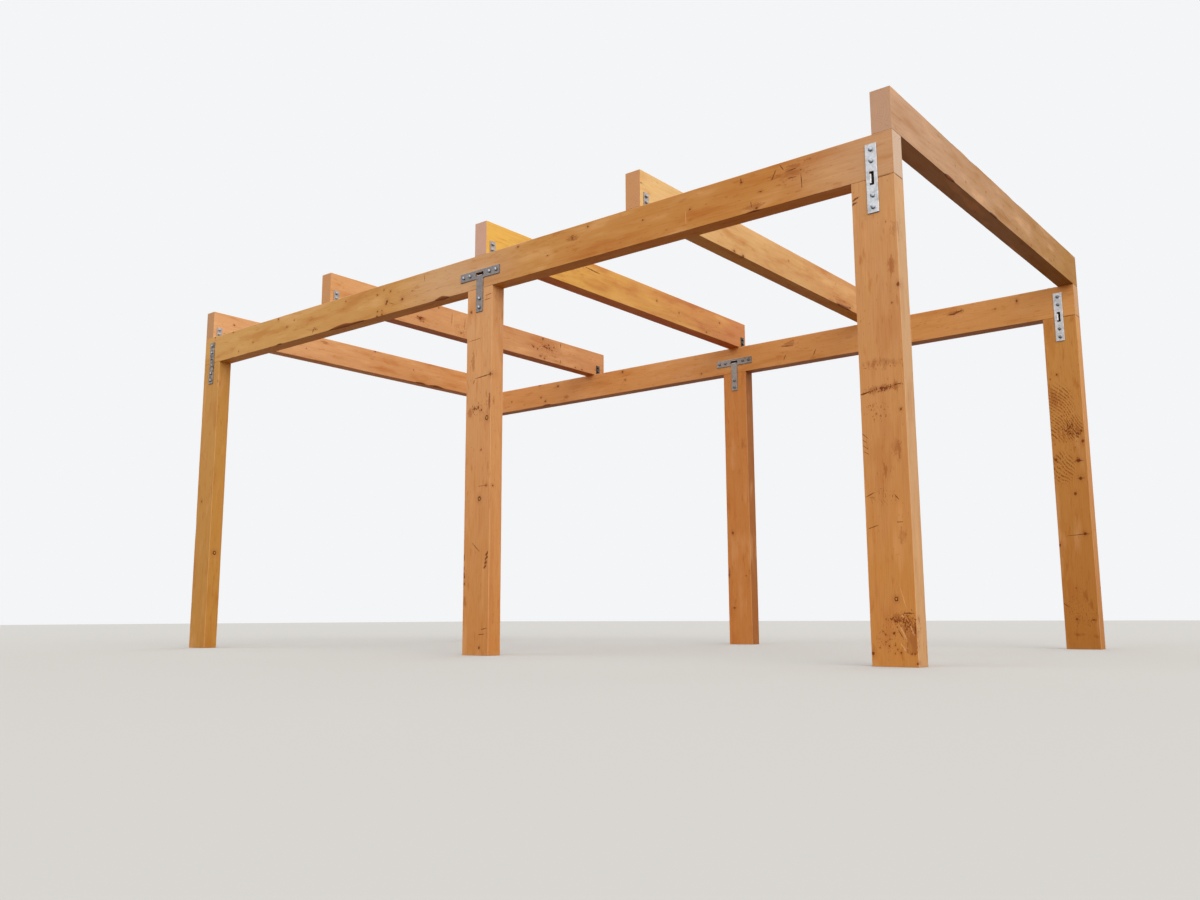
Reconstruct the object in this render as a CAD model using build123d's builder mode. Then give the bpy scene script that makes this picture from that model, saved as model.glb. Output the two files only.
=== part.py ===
from build123d import *

import os

# Wooden pergola: an open frame of sawn timber that stands on six posts.
# Two rows of three posts carry a beam each, and five rafters lie on edge across the beams.
# Galvanised plates tie beams to posts on the front faces, and angle brackets hold the rafters.
# Millimetres. The origin is on the floor, in the middle of the frame's plan.
# X runs along the beams to the right, Y runs back along the rafters, Z is up.

# Timber sections
timber_thickness = 90.0
post_width = 190.0
beam_height = 190.0
rafter_width = 90.0
rafter_height = 190.0
timber_arris = 2.5

# Clear heights and widths of the frame
post_height = 1978.0
left_bay_width = 2492.0
right_bay_width = 2102.0
clear_depth = 2541.0

# Places of the two rafters that stand over the bays, as clear gaps
left_rafter_gap = 1254.0
right_rafter_gap = 964.0

# The left rafter runs on past the rear beam's back
left_rafter_overhang = 37.0

# Flat steel of the straps and tees
plate_thickness = 5.0
plate_width = 50.0
plate_edge = 0.8
strap_length = 300.0
tee_arm_length = 300.0
tee_leg_length = 190.0
tee_arm_above_seam = 56.0

# Holes for the coach screws
screw_hole = 13.0
end_distance = 25.0
screw_pitch = 50.0

# Punched slot with its lug, which is turned into the timber and keys the plate to it
slot_length = 60.0
slot_width = 20.0
lug_length = 40.0
lug_bend_radius = 3.0
lug_bite = 12.0
lug_clearance = 1.0

# Angle brackets beside the rafters
bracket_leg = 80.0
bracket_width = 40.0
bracket_thickness = 5.0
bracket_bend_radius = 5.0
bracket_hole = 12.0
bracket_hole_sides = 12
bracket_first_hole = 30.0
bracket_hole_pitch = 32.0

# Sizes of the whole frame
frame_length = 3 * post_width + left_bay_width + right_bay_width
frame_depth = 2 * timber_thickness + clear_depth
beam_top = post_height + beam_height

# Left, middle and right post, by the middle of each post's width
left_end = -frame_length / 2
post_places = {
    "left": left_end + post_width / 2,
    "middle": left_end + 1.5 * post_width + left_bay_width,
    "right": -left_end - post_width / 2,
}

# Front and rear row, by the middle of the row's thickness
row_places = {
    "front": -(clear_depth + timber_thickness) / 2,
    "rear": (clear_depth + timber_thickness) / 2,
}

# Rafters from left to right: the end ones are flush with the beams' ends,
# the middle one stands over the middle posts
left_end_rafter = left_end + rafter_width / 2
middle_rafter = post_places["middle"]
rafter_places = {
    "left_end_rafter": left_end_rafter,
    "left_rafter": left_end_rafter + rafter_width + left_rafter_gap,
    "middle_rafter": middle_rafter,
    "right_rafter": middle_rafter + rafter_width + right_rafter_gap,
    "right_end_rafter": -left_end_rafter,
}
rear_overhangs = dict.fromkeys(rafter_places, 0.0) | {"left_rafter": left_rafter_overhang}

# Hole places along a plate, from its middle
far_hole = strap_length / 2 - end_distance
near_hole = far_hole - screw_pitch
arm_far_hole = tee_arm_length / 2 - end_distance
arm_near_hole = arm_far_hole - screw_pitch

# Depth of the timber's pocket behind a slot
pocket_depth = lug_bite + lug_clearance

# Heights of a tee, from the seam between post and beam
tee_arm_middle = post_height + tee_arm_above_seam + plate_width / 2
tee_leg_bottom = post_height + tee_arm_above_seam - tee_leg_length

os.makedirs("parts", exist_ok=True)


def keep(piece, name):
    """Labels a finished piece and writes it."""
    piece.label = name
    export_step(piece, f"parts/{name}.step")


def face_plane(x, row, z):
    """The front face of a row at (x, z): local x runs right, y up, z out of the timber."""
    front = row_places[row] - timber_thickness / 2
    return Plane(origin=(x, front, z), x_dir=(1, 0, 0), z_dir=(0, -1, 0))


def slot_outline(x, row, z, upright):
    """The punched slot's outline on a row's front face."""
    width, height = (slot_width, slot_length) if upright else (slot_length, slot_width)
    with BuildSketch(face_plane(x, row, z)) as outline:
        Rectangle(width, height)
    return outline.sketch


def lug_profile(x, row, z, upright):
    """The lug's section: a tongue of the plate's own thickness, turned into the timber.

    It hinges on the left side of an upright slot, or on the lower side of a level one.
    """
    outer_face = row_places[row] - timber_thickness / 2 - plate_thickness
    if upright:
        hinge, across, along = (x - slot_width / 2, outer_face, z), (1, 0, 0), (0, 0, 1)
    else:
        hinge, across, along = (x, outer_face, z - slot_width / 2), (0, 0, 1), (-1, 0, 0)
    outer_radius = lug_bend_radius + plate_thickness
    tip = plate_thickness + lug_bite
    with BuildSketch(Plane(origin=hinge, x_dir=across, z_dir=along)) as section:
        with BuildLine():
            outside = JernArc(start=(0, 0), tangent=(1, 0), radius=outer_radius, arc_size=90)
            inside = JernArc(
                start=(0, plate_thickness), tangent=(1, 0), radius=lug_bend_radius, arc_size=90
            )
            Polyline(outside @ 1, (outer_radius, tip), (lug_bend_radius, tip), inside @ 1)
            Line(outside @ 0, inside @ 0)
        make_face()
    return section.sketch


# Posts, with the 190 side to the front
for row, row_y in row_places.items():
    for side, post_x in post_places.items():
        slot = slot_outline(post_x, row, post_height, upright=True)
        with BuildPart() as post:
            with BuildSketch():
                with Locations((post_x, row_y)):
                    Rectangle(post_width, timber_thickness)
            extrude(amount=post_height)
            chamfer(post.edges().filter_by(Axis.Z), length=timber_arris)
            if side != "middle":
                extrude(slot, amount=-pocket_depth, mode=Mode.SUBTRACT)
        keep(post.part, f"{row}_{side}_post")

# Beams, one length each, on top of the posts
for row, row_y in row_places.items():
    slots = [
        slot_outline(post_places["left"], row, post_height, upright=True),
        slot_outline(post_places["middle"], row, tee_arm_middle, upright=False),
        slot_outline(post_places["right"], row, post_height, upright=True),
    ]
    with BuildPart() as beam:
        with BuildSketch(Plane.XY.offset(post_height)):
            with Locations((0, row_y)):
                Rectangle(frame_length, timber_thickness)
        extrude(amount=beam_height)
        chamfer(beam.edges().filter_by(Axis.X), length=timber_arris)
        for slot in slots:
            extrude(slot, amount=-pocket_depth, mode=Mode.SUBTRACT)
    keep(beam.part, f"{row}_beam")

# Rafters, on edge across both beams
for name, rafter_x in rafter_places.items():
    with BuildPart() as rafter:
        with BuildSketch(Plane.XY.offset(beam_top)):
            with Locations((rafter_x, rear_overhangs[name] / 2)):
                Rectangle(rafter_width, frame_depth + rear_overhangs[name])
        extrude(amount=rafter_height)
        chamfer(rafter.edges().filter_by(Axis.Y), length=timber_arris)
    keep(rafter.part, name)

# Straps over the seam between beam and end post, two screws into each
for row in row_places:
    for side in ("left", "right"):
        strap_x = post_places[side]
        lug = lug_profile(strap_x, row, post_height, upright=True)
        with BuildPart() as strap:
            with BuildSketch(face_plane(strap_x, row, post_height)):
                Rectangle(plate_width, strap_length)
                with Locations(*((0, s * hole) for s in (-1, 1) for hole in (near_hole, far_hole))):
                    Circle(screw_hole / 2, mode=Mode.SUBTRACT)
                Rectangle(slot_width, slot_length, mode=Mode.SUBTRACT)
            extrude(amount=plate_thickness)
            outer_face = strap.faces().sort_by(Axis.Y).first
            chamfer(outer_face.outer_wire().edges(), length=plate_edge)
            extrude(lug, amount=lug_length / 2, both=True)
        keep(strap.part, f"{row}_{side}_strap")

# Tees at the middle posts: the arm on the beam, the leg down the post
for row in row_places:
    tee_x = post_places["middle"]
    leg_holes = (end_distance, end_distance + screw_pitch)
    lug = lug_profile(tee_x, row, tee_arm_middle, upright=False)
    with BuildPart() as tee:
        with BuildSketch(face_plane(tee_x, row, tee_arm_middle)):
            Rectangle(tee_arm_length, plate_width)
            with Locations((0, -plate_width / 2)):
                Rectangle(plate_width, tee_leg_length, align=(Align.CENTER, Align.MAX))
            with Locations(*((s * hole, 0) for s in (-1, 1) for hole in (arm_near_hole, arm_far_hole))):
                Circle(screw_hole / 2, mode=Mode.SUBTRACT)
            with Locations(*((0, tee_leg_bottom - tee_arm_middle + hole) for hole in leg_holes)):
                Circle(screw_hole / 2, mode=Mode.SUBTRACT)
            Rectangle(slot_length, slot_width, mode=Mode.SUBTRACT)
        extrude(amount=plate_thickness)
        outer_face = tee.faces().sort_by(Axis.Y).first
        chamfer(outer_face.outer_wire().edges(), length=plate_edge)
        extrude(lug, amount=lug_length / 2, both=True)
    keep(tee.part, f"{row}_tee")


def angle_bracket(corner, side):
    """An angle of bent plate in the corner between a rafter's side and the beam's top.

    One leg stands against the rafter, the other lies on the beam, away from the rafter.
    Its holes are drawn with flat sides, which the screws' heads cover.
    """
    away = (side, 0, 0)
    holes = [(bracket_first_hole + n * bracket_hole_pitch, 0) for n in range(2)]
    with BuildPart() as bracket:
        with BuildSketch(Plane(origin=corner, x_dir=away, z_dir=(0, -side, 0))) as profile:
            with BuildLine():
                Polyline(
                    (0, 0),
                    (bracket_leg, 0),
                    (bracket_leg, bracket_thickness),
                    (bracket_thickness, bracket_thickness),
                    (bracket_thickness, bracket_leg),
                    (0, bracket_leg),
                    close=True,
                )
            make_face()
            heel = profile.vertices().sort_by_distance((0, 0))[0]
            fillet(heel, radius=bracket_bend_radius + bracket_thickness)
            throat = profile.vertices().sort_by_distance((bracket_thickness, bracket_thickness))[0]
            fillet(throat, radius=bracket_bend_radius)
        extrude(amount=bracket_width / 2, both=True)
        for leg_plane in (
            Plane(origin=corner, x_dir=away, z_dir=(0, 0, 1)),
            Plane(origin=corner, x_dir=(0, 0, 1), z_dir=away),
        ):
            with BuildSketch(leg_plane):
                with Locations(*holes):
                    RegularPolygon(bracket_hole / 2, bracket_hole_sides, major_radius=False)
            extrude(amount=bracket_thickness, mode=Mode.SUBTRACT)
    return bracket.part


# Brackets on both sides of each rafter, but not past the beams' ends
for row, row_y in row_places.items():
    for name, rafter_x in rafter_places.items():
        for hand, side in (("left", -1), ("right", 1)):
            face_x = rafter_x + side * rafter_width / 2
            if abs(face_x + side * bracket_leg) > frame_length / 2:
                continue
            bracket_part = angle_bracket((face_x, row_y, beam_top), side)
            keep(bracket_part, f"{name}_{row}_{hand}_bracket")
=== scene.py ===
import math

import bmesh
import bpy
import numpy as np
from mathutils import Euler, Matrix, Vector


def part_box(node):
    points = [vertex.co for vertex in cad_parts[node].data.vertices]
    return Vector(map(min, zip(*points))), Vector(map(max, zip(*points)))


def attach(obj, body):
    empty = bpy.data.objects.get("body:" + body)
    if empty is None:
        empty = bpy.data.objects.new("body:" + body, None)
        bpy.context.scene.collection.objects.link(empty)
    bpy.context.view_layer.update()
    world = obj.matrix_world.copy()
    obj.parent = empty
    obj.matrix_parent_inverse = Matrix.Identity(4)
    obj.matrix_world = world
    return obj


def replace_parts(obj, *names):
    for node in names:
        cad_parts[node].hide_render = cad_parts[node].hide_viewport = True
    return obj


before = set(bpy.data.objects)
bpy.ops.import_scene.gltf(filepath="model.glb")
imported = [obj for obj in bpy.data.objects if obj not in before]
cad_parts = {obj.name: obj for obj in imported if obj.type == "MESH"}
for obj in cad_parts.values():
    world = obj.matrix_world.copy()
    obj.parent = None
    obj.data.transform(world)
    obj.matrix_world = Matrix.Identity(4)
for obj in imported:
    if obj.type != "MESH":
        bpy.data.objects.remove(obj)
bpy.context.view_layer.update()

# Wooden pergola: oiled sawn softwood timbers with galvanised plates, angle brackets and coach screws.
# Metres, in the frame's own axes: X runs along the beams to the right, Y back along the rafters, Z up.
# Sizes that a maker would quote are in millimetres, and MM turns them to metres.

MM = 0.001
chance = np.random.default_rng(1978)

ROWS = ("front", "rear")

# Places in the plates and brackets that the timbers' pockets and the screws follow
SLOT_LENGTH = 60
SLOT_WIDTH = 20
POCKET_DEPTH = 13
END_DISTANCE = 25
SCREW_PITCH = 50
BRACKET_FIRST_HOLE = 30
BRACKET_HOLE_PITCH = 32
BRACKET_THICKNESS = 5
PLATE_WIDTH = 50


# Helpers

MERGE_DISTANCE = 0.01
SHARP_DEGREES = 35


def linear(code):
    """The linear colour of an sRGB hex code."""
    parts = [int(code[n:n + 2], 16) / 255 for n in (1, 3, 5)]
    return (*(p / 12.92 if p <= 0.04045 else ((p + 0.055) / 1.055) ** 2.4 for p in parts), 1.0)


def add(tree, kind, inputs, stops=(), **settings):
    """Adds a node with its settings, its inputs in order or by name, and a ramp's stops.

    An input is a value, a socket, or a node, which stands for its first output in use.
    """
    node = tree.nodes.new("ShaderNode" + kind)
    for name, value in settings.items():
        setattr(node, name, value)
    used = [socket for socket in node.inputs if socket.enabled]
    for key, value in (inputs.items() if isinstance(inputs, dict) else enumerate(inputs)):
        socket = used[key] if isinstance(key, int) else next(s for s in used if s.name == key)
        if isinstance(value, bpy.types.Node):
            value = next(s for s in value.outputs if s.enabled)
        if isinstance(value, bpy.types.NodeSocket):
            tree.links.new(value, socket)
        else:
            socket.default_value = value
    for number, (position, code) in enumerate(stops):
        if number >= len(node.color_ramp.elements):
            node.color_ramp.elements.new(position)
        node.color_ramp.elements[number].position = position
        node.color_ramp.elements[number].color = linear(code)
    return node


def new_material(name):
    """An empty material and its node tree."""
    material = bpy.data.materials.new(name)
    material.use_nodes = True
    material.node_tree.nodes.clear()
    return material, material.node_tree


def new_piece(name, points, faces, material, values=None):
    """A mesh of points and faces, with doubled points merged and sharp edges kept, riding on the frame.

    Values are numbers for the points, kept in the mesh as the attribute wear.
    """
    mesh = bpy.data.meshes.new(name)
    mesh.from_pydata(np.asarray(points).reshape(-1, 3), [], faces)
    if values is not None:
        mesh.attributes.new("wear_and_painted_shade", "FLOAT", "POINT").data.foreach_set("value", values)
    work = bmesh.new()
    work.from_mesh(mesh)
    bmesh.ops.remove_doubles(work, verts=work.verts, dist=MERGE_DISTANCE * MM)
    work.to_mesh(mesh)
    work.free()
    mesh.polygons.foreach_set("use_smooth", [True] * len(mesh.polygons))
    mesh.set_sharp_from_angle(angle=math.radians(SHARP_DEGREES))
    mesh.materials.append(material)
    piece = bpy.data.objects.new(name, mesh)
    bpy.context.scene.collection.objects.link(piece)
    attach(piece, "root")
    return piece


# Timbers: faces, ends and places on them. A face is the axis it looks along, and one on the higher side.

FACES = {"left": (0, 0), "right": (0, 1), "front": (1, 0), "back": (1, 1), "under": (2, 0), "top": (2, 1)}


def timber_axes(node):
    """A timber's axes: along its length, through its thickness and across its width."""
    low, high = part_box(node)
    size = high - low
    thick, wide, long = sorted(range(3), key=lambda axis: size[axis])
    return long, thick, wide


def on_face(node, face, along, across):
    """The point of a face at a distance along the timber from its left, front or lower end.

    The distance across starts at the face's lower arris, or at its left or front one where it has no lower.
    """
    low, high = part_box(node)
    long = timber_axes(node)[0]
    normal, side = FACES[face]
    point = low.copy()
    point[long] += along * MM
    point[3 - long - normal] += across * MM
    point[normal] = (low, high)[side][normal]
    return point


# Timbers: what the saw, the branches and the weather left on each one, and the light and shade painted
# on some of them, in millimetres, placed one by one.
# Each table goes by timber and face. A mark has its distance along from the left, front or lower end, across
# from the lower or left arris, length, width, and turn in degrees from the timber's length.

# Pin knots: along, across and radius
KNOTS = {
    ("front_beam", "front"): (
        (345, 182, 5), (425, 32, 4), (595, 68, 5), (880, 176, 6), (980, 106, 5), (1060, 137, 4),
        (1595, 158, 4), (1900, 138, 5), (1960, 157, 4), (2020, 137, 5), (1990, 80, 8), (1983, 66, 6),
        (2128, 67, 8), (1905, 34, 5), (1945, 32, 4), (1946, 8, 6), (1900, 4, 6), (3060, 172, 5),
        (3545, 166, 5), (3890, 114, 4), (4165, 98, 4), (4445, 154, 5), (4520, 12, 5),
    ),
    ("rear_beam", "front"): (
        (500, 84, 5), (830, 185, 6), (895, 38, 7), (1037, 148, 8), (1730, 167, 7), (1755, 98, 6),
        (2485, 38, 5), (4695, 122, 4),
    ),
    ("rear_beam", "back"): ((1180, 64, 7), (2940, 132, 6), (4380, 48, 7)),
    ("front_left_post", "front"): ((1000, 60, 6),),
    ("front_middle_post", "front"): (
        (1853, 29, 6), (1484, 183, 8), (1314, 96, 5), (1295, 119, 5), (1078, 120, 4), (407, 8, 5),
        (371, 8, 5), (40, 125, 6),
    ),
    ("front_right_post", "front"): (
        (1506, 183, 7), (1435, 153, 3), (998, 169, 4), (134, 52, 2.5), (122, 62, 3), (131, 100, 2.5),
        (94, 62, 2.5), (79, 75, 3), (82, 100, 2.5), (66, 108, 2.5), (54, 121, 3), (51, 97, 2),
        (72, 37, 2), (181, 67, 2), (105, 78, 2), (50, 164, 3), (50, 176, 3), (50, 7, 6), (14, 186, 4),
    ),
    ("rear_left_post", "back"): ((560, 130, 6),),
    ("rear_middle_post", "front"): ((795, 48, 8), (493, 6, 7)),
    ("rear_middle_post", "back"): ((1500, 60, 7),),
    ("rear_right_post", "front"): (
        (1626, 58, 5), (1270, 172, 6), (1208, 176, 8), (172, 70, 6), (168, 161, 4), (1111, 19, 7),
        (1095, 144, 9), (989, 148, 9), (901, 113, 8), (663, 149, 8), (603, 5, 7),
    ),
    ("rear_right_post", "back"): ((640, 122, 7), (1390, 52, 6)),
    ("left_end_rafter", "right"): ((160, 124, 5), (780, 75, 3)),
    ("left_rafter", "right"): (
        (745, 55, 8), (722, 66, 4), (775, 40, 4), (1130, 34, 5), (1895, 90, 6), (1940, 80, 6),
        (1970, 30, 6), (2000, 172, 7), (2015, 115, 6), (2020, 18, 6), (2065, 135, 6), (2107, 99, 6),
        (2130, 127, 5), (2390, 16, 5), (2474, 14, 6),
    ),
    ("middle_rafter", "right"): ((1853, 85, 5), (2194, 20, 6), (2368, 127, 6)),
    ("right_rafter", "right"): ((862, 10, 7), (955, 6, 8), (2289, 18, 8)),
    ("right_end_rafter", "right"): (
        (850, 52, 4), (1131, 94, 4), (1593, 38, 5), (1830, 14, 5), (2252, 46, 5),
    ),
}

# Larger knots with a pale heart in a dark ring: along, across and radius
RING_KNOTS = {
    ("rear_beam", "back"): ((2100, 120, 13), (3560, 60, 10)),
    ("front_left_post", "right"): ((640, 40, 10),),
    ("front_middle_post", "front"): ((1248, 160, 10), (816, 113, 9)),
    ("front_right_post", "front"): ((258, 112, 6.5),),
    ("rear_left_post", "back"): ((1200, 70, 12),),
    ("rear_middle_post", "back"): ((860, 120, 11),),
    ("left_end_rafter", "left"): ((1500, 90, 12),),
}

# Checks, scratches and torn strokes, and painted shadow lines at the joints under the beams, 1975 mm up the
# right posts
CHECKS_AND_JOINT_SHADOWS = {
    ("front_beam", "front"): (
        (1268, 28, 40, 9, -62), (1290, 36, 26, 8, 60), (2030, 60, 40, 4, 20), (2320, 155, 50, 4, 88),
        (4444, 164, 40, 5, 88), (4494, 34, 36, 5, 84), (4612, 142, 52, 5, -62), (4652, 166, 46, 5, 58),
        (4700, 142, 74, 5, -4), (4746, 84, 84, 5, 88), (4698, 106, 40, 5, 4),
    ),
    ("rear_beam", "front"): (
        (3197, 48, 54, 7, -66), (3435, 50, 56, 8, -62), (3225, 130, 100, 7, 4), (4420, 138, 60, 9, 0),
        (4470, 150, 50, 9, -14),
    ),
    ("front_middle_post", "front"): (
        (1930, 160, 60, 4, 84), (1905, 154, 66, 4, 86), (1692, 66, 120, 3, 86), (1478, 125, 140, 7, 85),
        (1456, 58, 30, 5, 20), (1340, 178, 100, 5, 3), (884, 128, 74, 3, 87), (558, 94, 90, 5, -50),
        (524, 174, 34, 15, 44), (501, 170, 34, 15, 44), (478, 166, 34, 15, 44), (457, 162, 30, 15, 44),
        (508, 5, 40, 8, 0), (452, 5, 30, 8, 0), (420, 6, 34, 8, 0), (136, 156, 56, 5, 80),
        (108, 140, 60, 5, 86),
    ),
    # Its first mark, 1975 mm along, is a painted shadow line at the joint under the front beam
    ("front_right_post", "front"): (
        (1975, 138, 104, 3, 90), (1906, 15, 44, 10, 66), (1888, 10, 34, 10, 70), (1080, 18, 44, 9, 78),
        (1084, 34, 50, 3, 84), (1093, 112, 60, 2.5, 86), (1100, 160, 44, 4, 84), (908, 12, 34, 3, -48),
        (886, 10, 30, 3, -50), (862, 12, 34, 3, -52), (838, 16, 30, 3, -56), (669, 24, 44, 4, 66),
        (652, 134, 36, 4, -40), (554, 142, 30, 4, 90), (540, 30, 56, 3.5, 74), (203, 158, 56, 5, 90),
        (124, 124, 46, 4, -30), (150, 182, 60, 5, 0),
    ),
    # A painted shadow line at the joint under the front beam
    ("front_right_post", "right"): ((1975, 45, 90, 4, 90),),
    # Its first mark, 1975 mm along, is a painted shadow line at the joint under the rear beam
    ("rear_right_post", "front"): (
        (1975, 140, 96, 4, 90), (658, 98, 110, 4, 87), (255, 14, 50, 6, -50), (166, 162, 46, 4, 90),
        (661, 148, 62, 4, 90), (989, 150, 50, 4, 90), (1092, 146, 60, 5, 90),
    ),
    # A painted shadow line at the joint under the rear beam
    ("rear_right_post", "right"): ((1975, 45, 90, 5, 90),),
    ("left_rafter", "right"): (
        (752, 62, 50, 8, 10), (1040, 124, 110, 4, 88), (1165, 112, 90, 4, 86), (2210, 156, 46, 8, 88),
        (2208, 26, 40, 7, 86), (1882, 93, 50, 6, -50), (1986, 34, 40, 6, 60),
    ),
    ("middle_rafter", "right"): ((925, 142, 150, 9, -3),),
    ("right_rafter", "right"): ((2190, 8, 230, 10, 3),),
}

# Pale scrapes, where lifted fibres show fresh wood
SCRAPES = {
    ("front_beam", "front"): ((4140, 62, 70, 5, 88),),
    ("front_right_post", "front"): (
        (262, 140, 110, 4, -15), (130, 134, 70, 7, -26), (74, 132, 46, 7, -34), (138, 170, 50, 6, -20),
        (193, 134, 12, 10, 0),
    ),
    ("left_rafter", "right"): ((1052, 108, 120, 8, 88),),
}

# Smudges, where oil and pitch darkened the face
SMUDGES = {
    ("front_beam", "front"): (
        (1290, 28, 70, 44, 0), (3446, 126, 90, 50, 0), (4490, 22, 130, 30, 0), (4690, 130, 200, 90, 0),
    ),
    ("rear_beam", "front"): ((1129, 46, 60, 40, 0), (3236, 141, 120, 40, 0), (4430, 144, 150, 24, 2)),
    ("rear_beam", "back"): ((2130, 110, 220, 60, 2), (3900, 70, 300, 50, -2)),
    ("front_middle_post", "front"): (
        (1559, 48, 130, 40, 0), (1330, 176, 130, 26, 0), (1285, 30, 60, 44, 0), (283, 12, 80, 34, 0),
    ),
    ("front_right_post", "front"): (
        (1746, 182, 90, 34, 0), (1594, 160, 80, 50, 0), (1195, 100, 44, 170, 4), (1092, 100, 40, 180, -3),
        (849, 140, 80, 56, 0), (762, 95, 60, 18, 0), (500, 150, 80, 50, 0), (186, 132, 44, 120, 0),
        (70, 10, 40, 26, 0),
    ),
    ("rear_middle_post", "front"): ((1431, 155, 90, 50, 0), (500, 10, 90, 30, 0)),
    ("rear_middle_post", "back"): ((1080, 90, 240, 60, 4),),
    ("rear_right_post", "front"): (
        (1480, 40, 120, 90, 0), (1285, 120, 130, 150, 0), (305, 128, 90, 26, -20), (262, 154, 80, 26, -8),
    ),
    ("rear_right_post", "back"): ((1000, 70, 200, 60, -4),),
    ("left_end_rafter", "right"): ((950, 156, 90, 30, 0),),
    ("left_rafter", "right"): ((755, 55, 110, 60, 0),),
    ("right_rafter", "right"): ((2150, 24, 360, 44, 2),),
}

# Torn grain in small scattered flecks
TORN = {
    ("front_middle_post", "front"): ((1300, 90, 90, 130, 0), (400, 10, 160, 34, 0)),
    ("front_right_post", "front"): (
        (1190, 90, 50, 180, 3), (1000, 70, 100, 120, 0), (660, 80, 80, 150, 0), (110, 90, 150, 130, 0),
    ),
    ("rear_right_post", "front"): ((1260, 120, 220, 160, 0), (230, 100, 260, 180, 0)),
    ("left_rafter", "right"): ((1130, 50, 150, 100, 0), (2060, 100, 320, 160, 0)),
    ("middle_rafter", "right"): ((2250, 60, 300, 120, 0),),
}

# Bruised and bark-stained grain in dense ragged patches
BRUISES = {
    ("front_beam", "front"): ((1988, 74, 36, 30, 0), (3446, 128, 36, 30, 0)),
    ("rear_beam", "front"): ((4445, 144, 110, 34, -4),),
    ("front_middle_post", "front"): ((1305, 70, 40, 70, 0),),
    ("front_right_post", "front"): (
        (1092, 100, 24, 160, -3), (166, 150, 90, 80, 0), (180, 148, 36, 110, 0), (179, 106, 34, 64, 0),
        (160, 152, 84, 30, 0),
    ),
    ("rear_right_post", "front"): (
        (1290, 100, 80, 70, 0), (1250, 156, 60, 50, -20), (1096, 146, 30, 34, 0),
    ),
    ("left_rafter", "right"): ((2040, 112, 150, 44, 0), (750, 55, 50, 40, 0)),
}

# Stains with a sharp edge, where water stood on the wood
STAINS = {
    ("front_right_post", "front"): (
        (124, 158, 90, 36, -20), (118, 176, 90, 30, 0), (84, 168, 64, 46, 0), (60, 152, 20, 22, 0),
        (58, 166, 18, 14, 0), (58, 180, 18, 16, 0),
    ),
    ("rear_right_post", "front"): ((84, 84, 16, 66, 0), (74, 168, 20, 34, 10)),
}

# Pale places, drawn paler than the rest of their face
PALE_PLACES = {
    ("front_beam", "front"): ((2600, 95, 960, 400, 0), (5164, 95, 960, 400, 0)),
}

# Strokes of the circular saw where they bit deepest
SAWN = {
    ("rear_right_post", "front"): (
        (1300, 80, 200, 260, 0), (1440, 60, 300, 190, 0), (1060, 50, 220, 170, 0),
    ),
}

# Faces drawn in a tint of their own that paints the light on them: the undersides of the rear beam and the
# rafters and the right face of the rear middle post as painted shade, the right face of the front right post
# as a painted pale sheen, and the underside of the front beam as painted warm light thrown up from below.
# Each has a tint and a cover.
FACE_PAINTED_LIGHT = {
    ("front_beam", "under"): ("#d09232", 0.4),
    ("rear_beam", "under"): ("#7c4619", 0.6),
    ("front_right_post", "right"): ("#c0b294", 0.35),
    ("rear_middle_post", "right"): ("#7c4619", 0.6),
    ("left_rafter", "under"): ("#aa5321", 0.6),
    ("middle_rafter", "under"): ("#bf5d1e", 0.7),
    ("right_rafter", "under"): ("#b48646", 0.5),
    ("right_end_rafter", "under"): ("#846547", 0.5),
}

# Wane, where an arris between two faces is missing down to the bark: along, reach and depth
WANE = {
    ("front_beam", "under", "front"): (
        (1510, 60, 9), (1590, 60, 13), (1710, 80, 6), (2470, 45, 15), (900, 34, 5), (4500, 60, 4),
    ),
    ("rear_beam", "under", "front"): ((915, 40, 7),),
    ("front_left_post", "left", "front"): ((820, 60, 5),),
    ("left_end_rafter", "under", "right"): ((1940, 50, 8), (2120, 60, 11)),
    ("middle_rafter", "top", "right"): ((640, 70, 5),),
    ("right_rafter", "under", "right"): ((2200, 90, 8),),
    ("right_end_rafter", "under", "right"): ((640, 60, 8), (1230, 60, 6)),
    ("right_end_rafter", "top", "right"): ((640, 130, 5), (930, 60, 7), (1590, 70, 6)),
}

# Each timber: the pith of its log from the middle of the section, through the thickness and across the
# width, the middle of the saw blade across the width, the tints of the wood at the left, front or lower end
# and at the other end, and the tint of the end grain. On the rafters the paler front tint and darker rear
# tint are partly painted light: a painted sheen at the front ends and painted shade towards the rear.
TIMBERS = {
    "front_beam": (-74, 30, 90, "#cb9f5d", "#bd7e3b", "#ccb39c"),
    "rear_beam": (80, -40, -120, "#da9a5e", "#d79d5d", "#bf9468"),
    "front_left_post": (90, 60, 60, "#b9853d", "#c08f4b", "#bf956c"),
    "front_middle_post": (-85, -30, 140, "#c48648", "#d4a16f", "#bf956c"),
    "front_right_post": (-66, 46, -200, "#c68742", "#cb9866", "#bf956c"),
    "rear_left_post": (70, -20, 110, "#c08445", "#c3884c", "#bf956c"),
    "rear_middle_post": (95, 30, -60, "#c88344", "#cd894a", "#bf956c"),
    "rear_right_post": (-70, -64, -540, "#ae7230", "#c68f4c", "#bf956c"),
    "left_end_rafter": (-90, 50, 120, "#d7a576", "#c68a53", "#b98d64"),
    "left_rafter": (76, 20, -90, "#d29e6c", "#c1895a", "#c4905f"),
    "middle_rafter": (-72, -36, 150, "#e2b458", "#c28251", "#cba592"),
    "right_rafter": (84, 44, -140, "#e0bc81", "#c68b51", "#c89365"),
    "right_end_rafter": (-80, 10, 80, "#bd9777", "#9f6f14", "#bf9a7e"),
}


# Timbers: skins

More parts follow.
